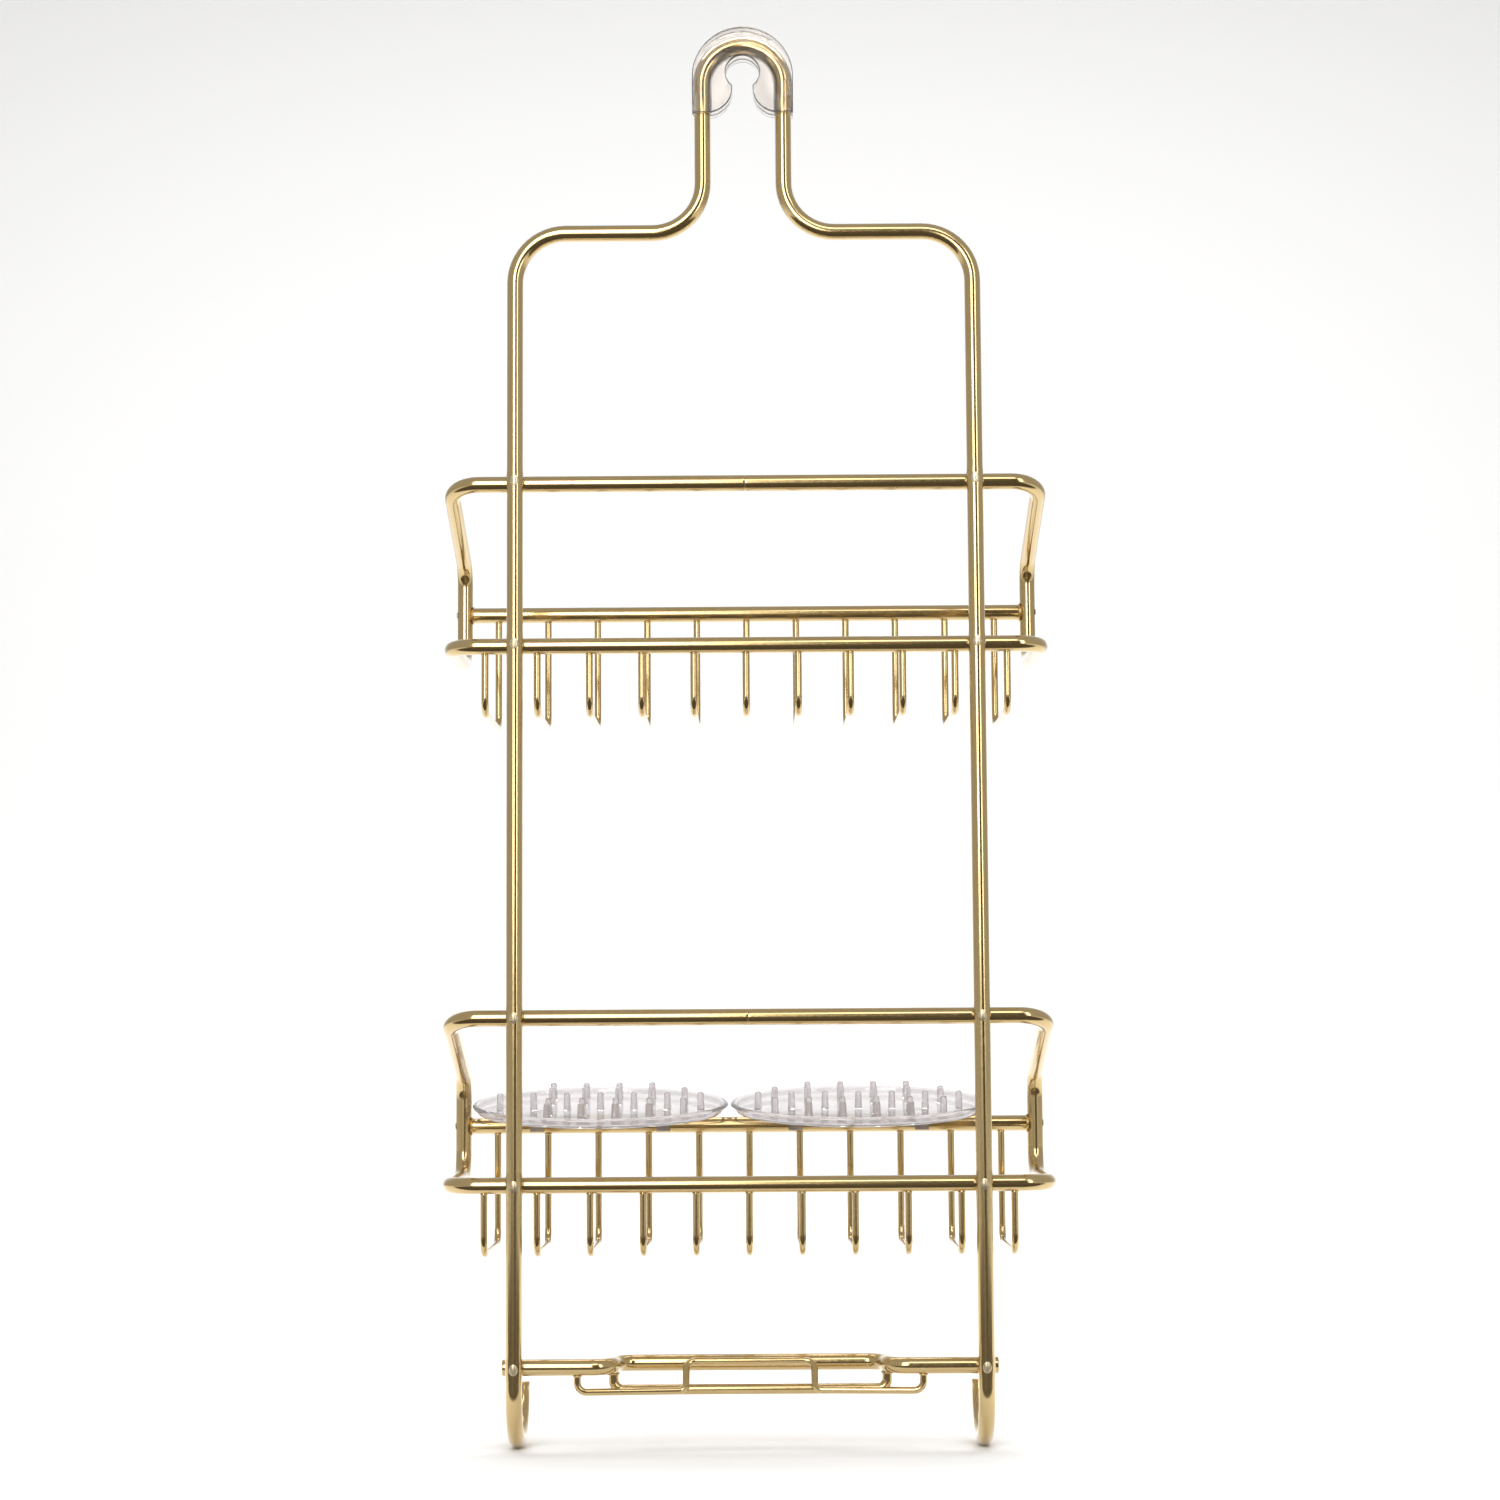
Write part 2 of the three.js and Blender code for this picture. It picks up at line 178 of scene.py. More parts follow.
# The tall boxes face straight ahead, and the small one above the card leans down at the caddy.
left_x, left_z = -0.45, 0.55
right_x, right_z = 1.40, 0.50
upper_x, upper_z, upper_aim_z = 0.42, 1.5, -0.2
soft_box((left_x, box_plane, left_z), (left_x, 0, left_z), width=0.8, height=1.8, radiance=5.0)
soft_box((right_x, box_plane, right_z), (right_x, 0, right_z), width=0.5, height=1.8, radiance=4.6)
soft_box((upper_x, box_plane, upper_z), (upper_x, 0, upper_aim_z), width=0.8, height=0.8, radiance=3.0)
# The light over the sweep stays out of the metal, so that the rods keep their own tone.
over_y, over_z, over_aim_z = 1.3, 1.9, -0.6
sweep_light = soft_box((0, over_y, over_z), (0, over_y, over_aim_z), width=3.4, height=2.2, radiance=3.6)
sweep_light.visible_glossy = False

world = bpy.data.worlds.new("studio_air")
world.use_nodes = True
world.node_tree.nodes["Background"].inputs["Color"].default_value = (1, 0.99, 0.97, 1)
world.node_tree.nodes["Background"].inputs["Strength"].default_value = 0.5
bpy.context.scene.world = world

# ---- Anodised rod
# Drawn aluminium, etched satin and anodised champagne gold. The dye gives a warm even metal with a
# slight drift along the bar, and the etch a fine grain that breaks up the highlights.
rod_gold, surface = new_material("anodised_aluminium_champagne")
places = add_node(rod_gold, "ShaderNodeTexCoord", {}).outputs["Object"]
dye_drift = 30 * mm
etch_patch = 2.2 * mm
# The etch's own grain is about 0.05 mm, too fine to show, so it is drawn at 0.7 mm.
etch_grain = 0.7 * mm
drift = add_node(rod_gold, "ShaderNodeTexNoise", {"Vector": places, "Scale": 1 / dye_drift, "Detail": 2.0})
patch = add_node(rod_gold, "ShaderNodeTexNoise", {"Vector": places, "Scale": 1 / etch_patch, "Detail": 3.0})
grain = add_node(rod_gold, "ShaderNodeTexNoise", {"Vector": places, "Scale": 1 / etch_grain, "Detail": 2.0})
tone = add_node(rod_gold, "ShaderNodeMix", {
    "Factor": drift.outputs["Fac"], "A": hex_colour("#d0b67e"), "B": hex_colour("#c8ab6e"),
}, data_type="RGBA")
satin = add_node(rod_gold, "ShaderNodeMapRange", {
    "Value": patch.outputs["Fac"], "From Min": 0.3, "From Max": 0.7, "To Min": 0.14, "To Max": 0.19})
etch = add_node(rod_gold, "ShaderNodeBump", {
    "Height": grain.outputs["Fac"], "Strength": 0.03, "Distance": 0.05 * mm})
rod_gold.node_tree.links.new(tone.outputs["Result"], surface.inputs["Base Color"])
rod_gold.node_tree.links.new(satin.outputs["Result"], surface.inputs["Roughness"])
rod_gold.node_tree.links.new(etch.outputs["Normal"], surface.inputs["Normal"])
surface.inputs["Metallic"].default_value = 1.0
# The sealed oxide is clear as glass, and puts a white gleam over the metal's golden one.
surface.inputs["Coat Weight"].default_value = 1.0
surface.inputs["Coat Roughness"].default_value = 0.12
surface.inputs["Coat IOR"].default_value = 1.65

# ---- Hanger frame
# One length of 8 mm rod, bent cold: a hook at each foot, two uprights, the shoulders, the neck and the
# arch that goes over the shower arm.
rod = 4 * mm
bend_step_degrees = 7
fewest_steps = 4


def draw_straight(here, end):
    """Draws the open end of a bar out to end. A ring near each end keeps the shading straight."""
    guard = (end - here).normalized() * mm
    least_step = 0.01 * mm
    for target in (here + guard, end - guard, end):
        if (target - here).dot(guard) > least_step * mm and (end - target).dot(guard) >= 0:
            bpy.ops.mesh.extrude_region_move(TRANSFORM_OT_translate={"value": target - here})
            here = target
    return end


def bend_rod(name, corners, bends, radius, sides=28, end_round=0.5 * mm):
    """A round bar: a disc is drawn out along each straight and spun round each bend."""
    points = [Vector(corner) for corner in corners]
    facing = (points[1] - points[0]).to_track_quat("Z", "Y").to_euler()
    bpy.ops.object.select_all(action="DESELECT")
    bpy.ops.mesh.primitive_circle_add(
        vertices=sides, radius=radius, fill_type="NGON", location=points[0], rotation=facing)
    bar = bpy.context.object
    bar.name = bar.data.name = name
    bpy.ops.object.mode_set(mode="EDIT")
    here = points[0]
    for before, corner, after, bend in zip(points, points[1:], points[2:], bends):
        into = (corner - before).normalized()
        out = (after - corner).normalized()
        turn = into.angle(out)
        setback = bend * math.tan(turn / 2)
        start = corner - into * setback
        here = draw_straight(here, start)
        inward = (out - into * out.dot(into)).normalized()
        bpy.ops.mesh.spin(
            steps=max(fewest_steps, round(math.degrees(turn) / bend_step_degrees)),
            angle=turn, center=start + inward * bend, axis=out.cross(into))
        here = corner + out * setback
    draw_straight(here, points[-1])
    bpy.ops.mesh.select_all(action="SELECT")
    bpy.ops.mesh.normals_make_consistent(inside=False)
    bpy.ops.object.mode_set(mode="OBJECT")
    bpy.ops.object.transform_apply(location=True, rotation=True, scale=True)
    ends = bar.modifiers.new("ends", "BEVEL")
    ends.width = end_round
    ends.segments = 3
    ends.angle_limit = math.radians(60)
    bpy.ops.object.modifier_apply(modifier="ends")
    bpy.ops.object.shade_smooth_by_angle(angle=math.radians(40))
    return bar


def finish_piece(piece, material, body, slot, *nodes):
    """Gives a piece its material, and puts it on its body in the place of its CAD nodes. The slot is not
    used.
    """
    piece.data.materials.clear()
    piece.data.materials.append(material)
    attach(piece, body)
    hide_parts(*nodes)


frame_low, frame_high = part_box("hanger_frame")
upright_x = frame_high.x - rod
arch_bend = 20 * mm
wide_bend = 25 * mm
arch_top = frame_high.z - rod
shoulder_z = -79.9 * mm
hook_low = frame_low.z + rod

left_half = [
    (-upright_x, 2 * wide_bend, hook_low + wide_bend),
    (-upright_x, 2 * wide_bend, hook_low),
    (-upright_x, 0, hook_low),
    (-upright_x, 0, shoulder_z),
    (-arch_bend, 0, shoulder_z),
    (-arch_bend, 0, arch_top),
]
right_half = [(-x, y, z) for x, y, z in reversed(left_half)]
half_bends = [wide_bend] * 4 + [arch_bend]
hanger = bend_rod("hanger_rod", left_half + right_half, half_bends + half_bends[::-1], rod)

# Setting a rivet spreads the rod by a twentieth, over a few millimetres each way. The outermost cuts
# keep the shading of the plain rod beyond them straight.
spread = 1.05
spread_full = 3 * mm
spread_end = 6 * mm
rivet_rows = ("upper_top", "upper_bottom", "lower_top", "lower_bottom", "towel_bar")
crossings = []
for row in rivet_rows:
    low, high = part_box(f"rivet_{row}_left")
    crossings.append((low.z + high.z) / 2)
bpy.ops.object.mode_set(mode="EDIT")
bpy.ops.mesh.select_mode(type="VERT")
for crossing in crossings:
    for offset in (-spread_end - mm, -spread_end, -spread_full, spread_full, spread_end, spread_end + mm):
        bpy.ops.mesh.select_all(action="SELECT")
        bpy.ops.mesh.bisect(plane_co=(0, 0, crossing + offset), plane_no=(0, 0, 1))
for middle in [Vector((x, 0, crossing)) for x in (-upright_x, upright_x) for crossing in crossings]:
    bpy.ops.mesh.select_all(action="DESELECT")
    bpy.ops.object.mode_set(mode="OBJECT")
    for vertex in hanger.data.vertices:
        vertex.select = (vertex.co - middle).length < spread_end
    bpy.ops.object.mode_set(mode="EDIT")
    bpy.ops.transform.resize(value=(spread, 1, 1), center_override=middle)
bpy.ops.object.mode_set(mode="OBJECT")
finish_piece(hanger, rod_gold, "frame", "anodised_rod", "hanger_frame")

# ---- Basket rings, front rails and tines
# Each basket is a ring of the same rod, butted in the middle of its top rail, with a straight front
# rail welded between its sides. U-shaped wires are welded under both rails to make the floor.
near_to_far = 79 * mm
rail_gap = 80.5 * mm
front_rise = 26.5 * mm
side_rise = 50 * mm
ring_bend = 14 * mm
floor_drop = 33 * mm
tine_bend = 8 * mm
wire = 1.75 * mm
butt_half = 0.02 * mm

side_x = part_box("upper_basket_loop")[1].x - rod
rail_low, rail_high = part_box("upper_front_rail")
far_y = (rail_low.y + rail_high.y) / 2
front_z = (rail_low.z + rail_high.z) / 2
near_y = far_y - near_to_far
low_z = front_z - front_rise
top_z = low_z + rail_gap
floor_z = low_z - floor_drop
# A wire or bar that is welded on starts a little inside the rod, at this distance from its middle.
into_rail = rod - 0.6 * mm


def copy_piece(piece, name, shift, turn=0):
    """A copy with its own mesh, turned about the upright axis and then moved by shift."""
    bpy.ops.object.select_all(action="DESELECT")
    piece.select_set(True)
    bpy.context.view_layer.objects.active = piece
    bpy.ops.object.duplicate(linked=False)
    twin = bpy.context.object
    twin.name = twin.data.name = name
    twin.rotation_euler = (0, 0, turn)
    twin.location = shift
    bpy.ops.object.transform_apply(location=True, rotation=True, scale=False)
    return twin


def join_copies(pattern, name, places):
    """One piece made of a copy of the pattern at each place."""
    copies = [copy_piece(pattern, name, place) for place in places]
    bpy.ops.object.select_all(action="DESELECT")
    for copy in copies:
        copy.select_set(True)
    bpy.context.view_layer.objects.active = copies[0]
    bpy.ops.object.join()
    joined = bpy.context.object
    joined.name = joined.data.name = name
    return joined


def weld_bead(size):
    """A round bead of weld at the origin, with half sizes and a slightly uneven skin."""
    bpy.ops.object.select_all(action="DESELECT")
    bpy.ops.mesh.primitive_uv_sphere_add(segments=20, ring_count=12, radius=1)
    bead = bpy.context.object
    bead.scale = size
    bpy.ops.object.transform_apply(location=True, rotation=True, scale=True)
    bpy.ops.object.mode_set(mode="EDIT")
    bpy.ops.mesh.select_all(action="SELECT")
    bpy.ops.transform.vertex_random(offset=0.05 * mm, uniform=0.0, normal=0.5, seed=3)
    bpy.ops.object.mode_set(mode="OBJECT")
    bpy.ops.object.shade_smooth()
    return bead


def lay_welds(name, size, places):
    """A row of equal weld beads on the frame as one piece."""
    bead = weld_bead(size)
    welds = join_copies(bead, name, places)
    bpy.data.objects.remove(bead)
    welds.data.materials.append(rod_gold)
    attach(welds, "frame")


left_side = [
    (-butt_half, near_y, top_z),
    (-side_x, near_y, top_z),
    (-side_x, far_y, low_z + side_rise),
    (-side_x, far_y, low_z),
    (-side_x, near_y, low_z),
]
right_side = [(-x, y, z) for x, y, z in reversed(left_side)]
ring = bend_rod("ring", left_side + right_side, [ring_bend] * 8, rod, end_round=0.2 * mm)

rail_reach = side_x - into_rail
front_bar = bend_rod("bar", [(-rail_reach, far_y, front_z), (rail_reach, far_y, front_z)], [], rod)

tine = bend_rod("tine", [
    (0, near_y, low_z - into_rail),
    (0, near_y, floor_z),
    (0, far_y, floor_z),
    (0, far_y, front_z - into_rail),
], [tine_bend] * 2, wire, sides=16, end_round=0.2 * mm)

wire_weld = (wire + 0.2 * mm, wire + 0.2 * mm, 0.7 * mm)
rail_weld = (0.9 * mm, rod + 0.7 * mm, rod + 0.7 * mm)
rail_weld_x = side_x - rod - 0.4 * mm
weld_drop = rod + 0.1 * mm
tine_count = 11
for shelf in ("upper", "lower"):
    rail_low, rail_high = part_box(f"{shelf}_front_rail")
    drop = Vector((0, 0, (rail_low.z + rail_high.z) / 2 - front_z))
    finish_piece(copy_piece(ring, f"{shelf}_basket_ring", drop), rod_gold, "frame", "anodised_rod",
                 f"{shelf}_basket_loop")
    finish_piece(copy_piece(front_bar, f"{shelf}_front_bar", drop), rod_gold, "frame", "anodised_rod",
                 f"{shelf}_front_rail")
    wire_ends = []
    for number in range(1, tine_count + 1):
        node = f"{shelf}_tine_{number:02d}"
        tine_low, tine_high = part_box(node)
        across = Vector(((tine_low.x + tine_high.x) / 2, 0, 0))
        finish_piece(copy_piece(tine, f"{shelf}_wire_{number:02d}", across + drop), rod_gold, "frame",
                     "anodised_tine", node)
        wire_ends.append(across + drop + Vector((0, near_y, low_z - weld_drop)))
        wire_ends.append(across + drop + Vector((0, far_y, front_z - weld_drop)))
    lay_welds(f"{shelf}_wire_welds", wire_weld, wire_ends)
    rail_ends = [drop + Vector((side * rail_weld_x, far_y, front_z)) for side in (-1, 1)]
    lay_welds(f"{shelf}_rail_welds", rail_weld, rail_ends)
for pattern in (ring, front_bar, tine):
    bpy.data.objects.remove(pattern)

# ---- Towel bar, lower rod and razor wire
# The bar steps back between two tight S bends. A thinner rod hangs below it, and a 3.5 mm wire welded
# under its near ends passes in front and rises to rest on its set-back middle.
rivet_low, rivet_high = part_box("rivet_towel_bar_left")
bar_z = (rivet_low.z + rivet_high.z) / 2
bar_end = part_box("towel_bar")[1].x
set_back = 20 * mm
jog_inset = 46.8 * mm
jog_x = upright_x - jog_inset
jog_y = near_y + set_back / 2

left_bar = [
    (-bar_end, near_y, bar_z),
    (-jog_x, near_y, bar_z),
    (-jog_x, near_y + set_back, bar_z),
]
right_bar = [(-x, y, z) for x, y, z in reversed(left_bar)]
towel = bend_rod("towel_rod", left_bar + right_bar, [set_back / 2] * 4, rod)
finish_piece(towel, rod_gold, "frame", "anodised_rod", "towel_bar")

thin = 2.5 * mm
small_bend = 4.5 * mm
hang_drop = 11.8 * mm
hung_z = bar_z - hang_drop
left_hung = [(-jog_x, jog_y, bar_z - into_rail), (-jog_x, jog_y, hung_z)]
right_hung = [(-x, y, z) for x, y, z in reversed(left_hung)]
hung = bend_rod("lower_hung_rod", left_hung + right_hung, [small_bend] * 2, thin, sides=24)
finish_piece(hung, rod_gold, "frame", "anodised_rod", "lower_rod")

razor_inset = 29.8 * mm
razor_end_x = upright_x - razor_inset
riser_x = 31 * mm
# The middle of the wire lies against the bar, a little above level, and clears the thin rod on its way.
rest_angle = math.radians(12)
rest_reach = rod + wire
rest_y = near_y + set_back - rest_reach * math.cos(rest_angle)
rest_z = bar_z + rest_reach * math.sin(rest_angle)
pass_slant = math.radians(45)
pass_y = jog_y - (thin + wire) / math.cos(pass_slant)
left_wire = [
    (-razor_end_x, near_y, bar_z - into_rail),
    (-razor_end_x, near_y, hung_z),
    (-riser_x, pass_y, hung_z),
    (-riser_x, rest_y, rest_z),
]
right_wire = [(-x, y, z) for x, y, z in reversed(left_wire)]
razor = bend_rod("razor_rest_wire", left_wire + right_wire, [small_bend] * 6, wire, sides=16)
finish_piece(razor, rod_gold, "frame", "anodised_tine", "razor_wire")

end_weld = (2.3 * mm, 2.3 * mm, 0.9 * mm)
hung_weld = (3.1 * mm, 3.1 * mm, 1 * mm)
rest_weld = (3 * mm, 1.2 * mm, 1.2 * mm)
under_bar = bar_z - weld_drop
rest_weld_x = 22 * mm
rest_weld_y = rest_y + 1.5 * mm
lay_welds("razor_wire_end_welds", end_weld, [(side * razor_end_x, near_y, under_bar) for side in (-1, 1)])
lay_welds("lower_rod_welds", hung_weld, [(side * jog_x, jog_y, under_bar) for side in (-1, 1)])
lay_welds("razor_wire_rest_welds", rest_weld, [(side * rest_weld_x, rest_weld_y, rest_z) for side in (-1, 1)])

# ---- Rivets
# Solid aluminium rivets. The ones that hold the rings and the bar to the uprights fill a countersink
# and are ground flush with the round of the rod. The ones in the basket sides keep a low dome.
rivet_gold, surface = new_material("ground_aluminium_champagne_painted_highlight")
places = add_node(rivet_gold, "ShaderNodeTexCoord", {}).outputs["Object"]
# Grinding leaves fine pits, which scatter more light. The pale speckled colour, far paler than the rod, is
# partly the pits and partly painted highlight, for the gleam the flattened heads catch.
grit = 0.45 * mm
pits = add_node(rivet_gold, "ShaderNodeTexNoise", {"Vector": places, "Scale": 1 / grit, "Detail": 3.0})
pale_pit_and_highlight_mask = add_node(rivet_gold, "ShaderNodeMapRange", {
    "Value": pits.outputs["Fac"], "From Min": 0.42, "From Max": 0.62})
# Pale speckle: the ground pits, with painted highlight in their paleness.
tone = add_node(rivet_gold, "ShaderNodeMix", {
    "Factor": pale_pit_and_highlight_mask.outputs["Result"], "A": hex_colour("#f0e5c8"), "B": hex_colour("#c9b07f"),
}, data_type="RGBA")
ground = add_node(rivet_gold, "ShaderNodeBump", {
    "Height": pits.outputs["Fac"], "Strength": 0.5, "Distance": 0.06 * mm})
rivet_gold.node_tree.links.new(tone.outputs["Result"], surface.inputs["Base Color"])
rivet_gold.node_tree.links.new(ground.outputs["Normal"], surface.inputs["Normal"])
surface.inputs["Metallic"].default_value = 1.0
surface.inputs["Roughness"].default_value = 0.34

shank = 1.2 * mm
flush_head = 2.6 * mm
flush_proud = 0.12 * mm
dome_head = 1.8 * mm
dome_rise = 0.6 * mm
dome_shank = 3 * mm
dome_sunk = 0.1 * mm
# Each step up the dome is a share of its rise, and the share of its width that it keeps.
dome_steps = ((0.3, 1.0), (0.3, 0.92), (0.25, 0.76), (0.15, 0.5))


def boolean(body, tool, operation):
    """Joins, cuts or keeps the overlap of two solids, and puts the tool away."""
    bpy.ops.object.select_all(action="DESELECT")
    bpy.context.view_layer.objects.active = body
    body.select_set(True)
    change = body.modifiers.new("change", "BOOLEAN")
    change.operation = operation
    change.solver = "EXACT"
    change.object = tool
    bpy.ops.object.modifier_apply(modifier="change")
    bpy.data.objects.remove(tool)


def rivet_blank(depth):
    """The shank of a rivet that looks along -Y, with its outer face selected in edit mode."""
    bpy.ops.object.select_all(action="DESELECT")
    bpy.ops.mesh.primitive_cylinder_add(
        vertices=40, radius=shank, depth=depth, location=(0, depth / 2, 0), rotation=(math.radians(90), 0, 0))
    blank = bpy.context.object
    bpy.ops.object.transform_apply(location=True, rotation=True, scale=True)
    bpy.ops.object.mode_set(mode="EDIT")
    bpy.ops.mesh.select_mode(type="FACE")
    bpy.ops.mesh.select_all(action="DESELECT")
    bpy.ops.object.mode_set(mode="OBJECT")
    for face in blank.data.polygons:
        face.select = face.normal.y < -0.9
    bpy.ops.object.mode_set(mode="EDIT")
    return blank


# The flush rivet lies with its face on the rod's own round, whose middle is the origin.
cone_start = rod - (flush_head - shank)
cone_end = rod + mm
flush = rivet_blank(cone_start)
bpy.ops.transform.translate(value=(0, -cone_start, 0))
bpy.ops.mesh.extrude_region_move(TRANSFORM_OT_translate={"value": (0, cone_start - cone_end, 0)})
bpy.ops.transform.resize(value=((shank + cone_end - cone_start) / shank,) * 3)
bpy.ops.object.mode_set(mode="OBJECT")
bpy.ops.mesh.primitive_cylinder_add(vertices=128, radius=rod + flush_proud, depth=5 * rod)
boolean(flush, bpy.context.object, "INTERSECT")
rim = flush.modifiers.new("rim", "BEVEL")
rim.width = 0.2 * mm
rim.segments = 2
rim.angle_limit = math.radians(30)
bpy.ops.object.modifier_apply(modifier="rim")
bpy.ops.object.shade_smooth_by_angle(angle=math.radians(25))

# The domed rivet stands on the origin and looks along -Y.
domed = rivet_blank(dome_shank)
bpy.ops.mesh.extrude_region_move()
bpy.ops.transform.resize(value=(dome_head / shank,) * 3)
for rise, width in dome_steps:
    bpy.ops.mesh.extrude_region_move(TRANSFORM_OT_translate={"value": (0, -rise * dome_rise, 0)})
    bpy.ops.transform.resize(value=(width,) * 3)
bpy.ops.mesh.select_all(action="SELECT")
bpy.ops.mesh.normals_make_consistent(inside=False)
bpy.ops.object.mode_set(mode="OBJECT")
bpy.ops.object.shade_smooth_by_angle(angle=math.radians(50))

for side, sign in (("left", -1), ("right", 1)):
    for row, crossing in zip(rivet_rows, crossings):
        rivet = copy_piece(flush, f"{row}_rivet_{side}", (sign * upright_x, 0, crossing))
        finish_piece(rivet, rivet_gold, "frame", "rivet", f"rivet_{row}_{side}")
    for shelf in ("upper", "lower"):
        low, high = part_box(f"rivet_{shelf}_front_{side}")
        place = (sign * (side_x + rod - dome_sunk), (low.y + high.y) / 2, (low.z + high.z) / 2)
        rivet = copy_piece(domed, f"{shelf}_front_rivet_{side}", place, sign * math.radians(90))
        finish_piece(rivet, rivet_gold, "frame", "rivet", f"rivet_{shelf}_front_{side}")
for pattern in (flush, domed):
    bpy.data.objects.remove(pattern)

# ---- Clear arm cover
# Two clear halves, injection moulded, close over the arch. Each is a hollow, thin-walled horseshoe with a
# round seat for the shower arm, a half-round channel for the rod, a panel over the crown and two catches.

# Clear polystyrene with a polished skin, which the eye finds only by its edges. Its IOR is lower than the
# real 1.59, so that the rod shows through it as straight as it does through the real wall.
clear_plastic, surface = new_material("clear_styrene_moulded")
surface.inputs["Base Color"].default_value = hex_colour("#fbf9f7")
surface.inputs["Transmission Weight"].default_value = 0.985
surface.inputs["Roughness"].default_value = 0.03
surface.inputs["IOR"].default_value = 1.25
places = add_node(clear_plastic, "ShaderNodeTexCoord", {}).outputs["Object"]
# Slow ripples from the way the melt flowed into the mould, about a centimetre long.
flow_length = 11 * mm
flow = add_node(clear_plastic, "ShaderNodeTexNoise", {
    "Vector": places, "Scale": 1 / flow_length, "Detail": 1.0})
ripple = add_node(clear_plastic, "ShaderNodeBump", {
    "Height": flow.outputs["Fac"], "Strength": 0.25, "Distance": 0.4 * mm})
clear_plastic.node_tree.links.new(ripple.outputs["Normal"], surface.inputs["Normal"])


def disc_along_y(x, z, radius_x, radius_z, y_from, y_to):
    """A round or oval disc whose axis lies along the shower arm."""
    bpy.ops.object.select_all(action="DESELECT")
    bpy.ops.mesh.primitive_cylinder_add(
        vertices=96, radius=1, depth=y_to - y_from, location=(x, (y_from + y_to) / 2, z),
        rotation=(math.radians(90), 0, 0))
    disc = bpy.context.object
    disc.scale = (radius_x, radius_z, 1)
    bpy.ops.object.transform_apply(location=True, rotation=True, scale=True)
    return disc


def block(low, high):
    """A plain block between two corners."""
    low, high = Vector(low), Vector(high)
    bpy.ops.object.select_all(action="DESELECT")
    bpy.ops.mesh.primitive_cube_add(size=1, location=(low + high) / 2, scale=high - low)
    cube = bpy.context.object
    bpy.ops.object.transform_apply(location=True, rotation=True, scale=True)
    return cube


seat = 8.4 * mm
lip_z = -7 * mm
lip_x = 5.05 * mm
horn_round = 12.4 * mm
cover_low, cover_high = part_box("hook_cover_wall_half")
cover_r = cover_high.x
crown_z = cover_high.z - cover_r
arch_z = arch_top - arch_bend
cover_half = -cover_low.y
split = 0.03 * mm
# The wall is drawn thinner than a moulding's, for the same clear look.
cover_wall = 0.4 * mm
channel_room = 0.15 * mm
channel_low = cover_low.z - 3 * mm
panel_depth = 0.5 * mm
panel_r = cover_r - 0.9 * mm
panel_inner = arch_bend + rod + 0.3 * mm
panel_x = 12.4 * mm
panel_low, panel_high = 5 * mm, 30 * mm
catch_in, catch_out = 20.6 * mm, 23.4 * mm
catch_low, catch_high = -12.7 * mm, -4.6 * mm

